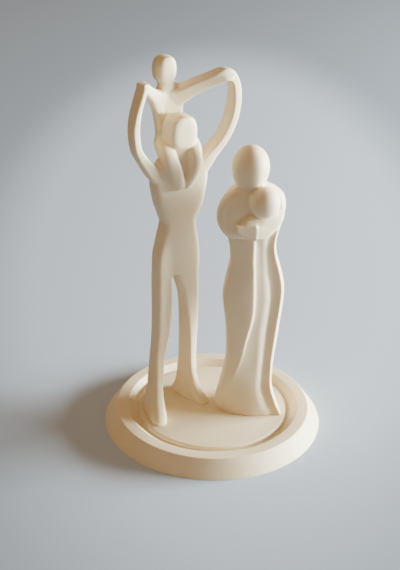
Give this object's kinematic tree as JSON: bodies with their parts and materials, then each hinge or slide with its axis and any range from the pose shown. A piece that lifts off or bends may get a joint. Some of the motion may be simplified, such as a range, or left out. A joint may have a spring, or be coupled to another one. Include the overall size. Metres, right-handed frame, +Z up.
{
  "type": "family group sculpture",
  "caption": "Tabletop family group sculpture: a tall father lifts a child on his shoulders beside a mother in a long gown holding a baby, all on a round stepped plinth.",
  "frame": {"origin": "centre of the plinth's flat underside", "axes": "+Z up through the plinth's axis, -Y towards the viewer the figures face, the father on the -X side and the mother on the +X side"},
  "size_m": [0.11, 0.11, 0.1879],
  "materials": {
    "ivory_plastic": "matt"
  },
  "bodies": {
    "root": {"plinth": "ivory_plastic", "father_and_child": "ivory_plastic", "mother_and_baby": "ivory_plastic"}
  },
  "joints": []
}
